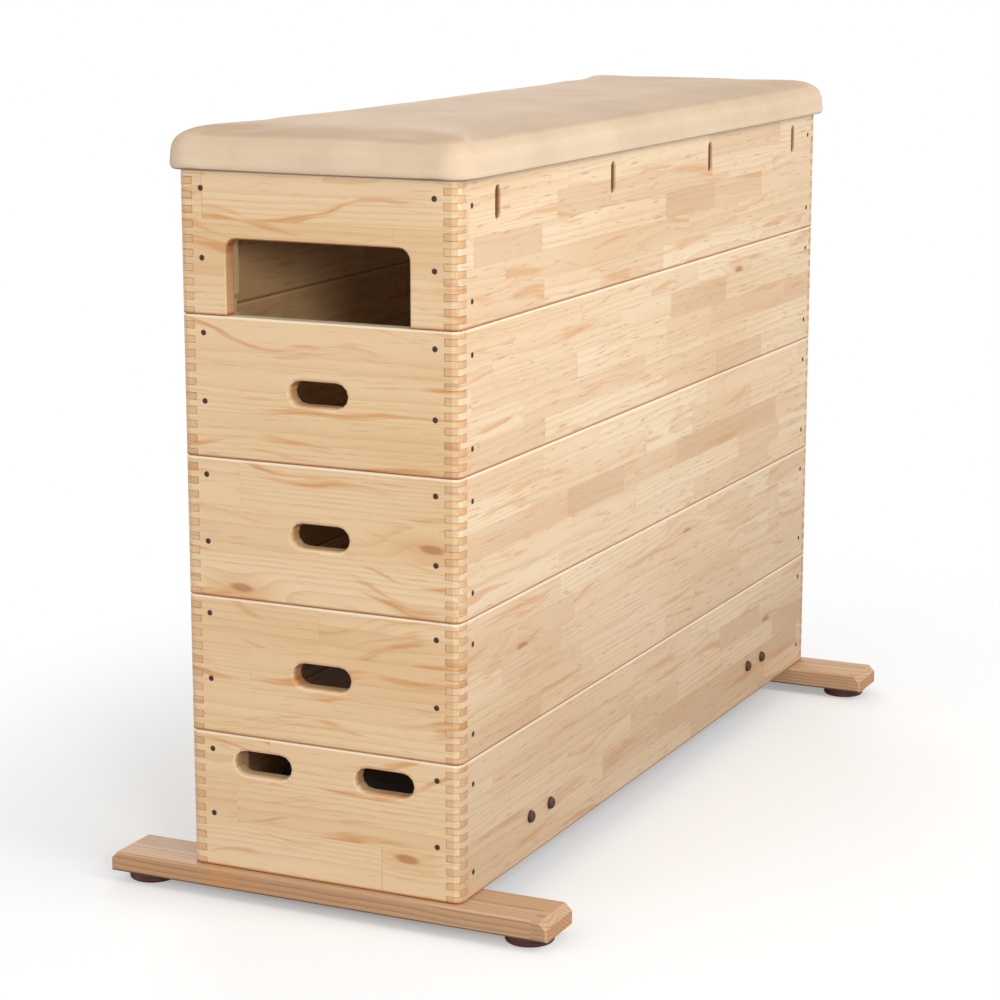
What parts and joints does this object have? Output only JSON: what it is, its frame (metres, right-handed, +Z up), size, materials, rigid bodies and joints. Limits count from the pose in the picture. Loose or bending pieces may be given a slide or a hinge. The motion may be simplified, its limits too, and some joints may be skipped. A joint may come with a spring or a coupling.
{
  "type": "vaulting box",
  "caption": "Stacking vaulting box with a padded leather top on comb-jointed wooden frames with grip holes, on cross runners with stowed castors.",
  "frame": {"origin": "on the floor, under the middle of the box", "axes": "+Z up, +Y along the box away from its front end, +X across the box to the right of the front end"},
  "size_m": [0.7, 1.488, 1.106],
  "materials": {
    "side_wood": "clear satin lacquer",
    "end_wood": "clear satin lacquer",
    "post_wood": "planed, unfinished",
    "plywood": "sanded plywood",
    "runner_wood": "worn lacquer",
    "leather": "suede side out",
    "foot_rubber": "matte",
    "wheel_tread": "matte",
    "zinc_steel": "zinc plated",
    "coated_steel": "grey coated"
  },
  "bodies": {
    "base": {"bottom_end_board_front": "end_wood", "bottom_end_board_back": "end_wood", "bottom_side_board_right": "side_wood", "bottom_side_board_left": "side_wood", "bottom_post_front_left": "post_wood", "bottom_post_front_right": "post_wood", "bottom_post_back_right": "post_wood", "bottom_post_back_left": "post_wood", "runner_front": "runner_wood", "runner_back": "runner_wood", "foot_front_left": "foot_rubber", "foot_front_right": "foot_rubber", "foot_back_left": "foot_rubber", "foot_back_right": "foot_rubber", "rail_front": "coated_steel", "rail_back": "coated_steel"},
    "section_4": {"section_4_end_board_front": "end_wood", "section_4_end_board_back": "end_wood", "section_4_side_board_right": "side_wood", "section_4_side_board_left": "side_wood", "section_4_post_front_left": "post_wood", "section_4_post_front_right": "post_wood", "section_4_post_back_right": "post_wood", "section_4_post_back_left": "post_wood"},
    "section_3": {"section_3_end_board_front": "end_wood", "section_3_end_board_back": "end_wood", "section_3_side_board_right": "side_wood", "section_3_side_board_left": "side_wood", "section_3_post_front_left": "post_wood", "section_3_post_front_right": "post_wood", "section_3_post_back_right": "post_wood", "section_3_post_back_left": "post_wood"},
    "section_2": {"section_2_end_board_front": "end_wood", "section_2_end_board_back": "end_wood", "section_2_side_board_right": "side_wood", "section_2_side_board_left": "side_wood", "section_2_post_front_left": "post_wood", "section_2_post_front_right": "post_wood", "section_2_post_back_right": "post_wood", "section_2_post_back_left": "post_wood"},
    "top": {"top_end_board_front": "end_wood", "top_end_board_back": "end_wood", "top_side_board_right": "side_wood", "top_side_board_left": "side_wood", "top_post_front_left": "post_wood", "top_post_front_right": "post_wood", "top_post_back_right": "post_wood", "top_post_back_left": "post_wood", "top_plywood_board": "plywood", "top_pad": "leather"},
    "carrier_front": {"carrier_front": "zinc_steel"},
    "fork_front_a": {"fork_front_a": "zinc_steel"},
    "wheel_front_a": {"wheel_front_a": "wheel_tread"},
    "fork_front_b": {"fork_front_b": "zinc_steel"},
    "wheel_front_b": {"wheel_front_b": "wheel_tread"},
    "carrier_back": {"carrier_back": "zinc_steel"},
    "fork_back_a": {"fork_back_a": "zinc_steel"},
    "wheel_back_a": {"wheel_back_a": "wheel_tread"},
    "fork_back_b": {"fork_back_b": "zinc_steel"},
    "wheel_back_b": {"wheel_back_b": "wheel_tread"}
  },
  "joints": [
    {"name": "lift_section_4", "type": "slide", "parent": "base", "child": "section_4", "axis": [0, 0, 1], "range_m": [0, 0.12]},
    {"name": "lift_section_3", "type": "slide", "parent": "section_4", "child": "section_3", "axis": [0, 0, 1], "range_m": [0, 0.12]},
    {"name": "lift_section_2", "type": "slide", "parent": "section_3", "child": "section_2", "axis": [0, 0, 1], "range_m": [0, 0.12]},
    {"name": "lift_top", "type": "slide", "parent": "section_2", "child": "top", "axis": [0, 0, 1], "range_m": [0, 0.12]},
    {"name": "swing_carrier_front", "type": "hinge", "parent": "base", "child": "carrier_front", "pos_m": [0, -0.512, 0.064], "axis": [1, 0, 0], "range_deg": [0, 22]},
    {"name": "swivel_front_a", "type": "hinge", "parent": "carrier_front", "child": "fork_front_a", "pos_m": [-0.095, -0.57319, 0.08872], "axis": [0, 0.3746, 0.9272], "continuous": true},
    {"name": "roll_front_a", "type": "hinge", "parent": "fork_front_a", "child": "wheel_front_a", "pos_m": [-0.095, -0.56975, 0.04387], "axis": [1, 0, 0], "continuous": true},
    {"name": "swivel_front_b", "type": "hinge", "parent": "carrier_front", "child": "fork_front_b", "pos_m": [0.095, -0.57319, 0.08872], "axis": [0, 0.3746, 0.9272], "continuous": true},
    {"name": "roll_front_b", "type": "hinge", "parent": "fork_front_b", "child": "wheel_front_b", "pos_m": [0.095, -0.56975, 0.04387], "axis": [1, 0, 0], "continuous": true},
    {"name": "swing_carrier_back", "type": "hinge", "parent": "base", "child": "carrier_back", "pos_m": [0, 0.512, 0.064], "axis": [-1, 0, 0], "range_deg": [0, 22]},
    {"name": "swivel_back_a", "type": "hinge", "parent": "carrier_back", "child": "fork_back_a", "pos_m": [0.095, 0.57319, 0.08872], "axis": [0, -0.3746, 0.9272], "continuous": true},
    {"name": "roll_back_a", "type": "hinge", "parent": "fork_back_a", "child": "wheel_back_a", "pos_m": [0.095, 0.56975, 0.04387], "axis": [1, 0, 0], "continuous": true},
    {"name": "swivel_back_b", "type": "hinge", "parent": "carrier_back", "child": "fork_back_b", "pos_m": [-0.095, 0.57319, 0.08872], "axis": [0, -0.3746, 0.9272], "continuous": true},
    {"name": "roll_back_b", "type": "hinge", "parent": "fork_back_b", "child": "wheel_back_b", "pos_m": [-0.095, 0.56975, 0.04387], "axis": [1, 0, 0], "continuous": true}
  ]
}
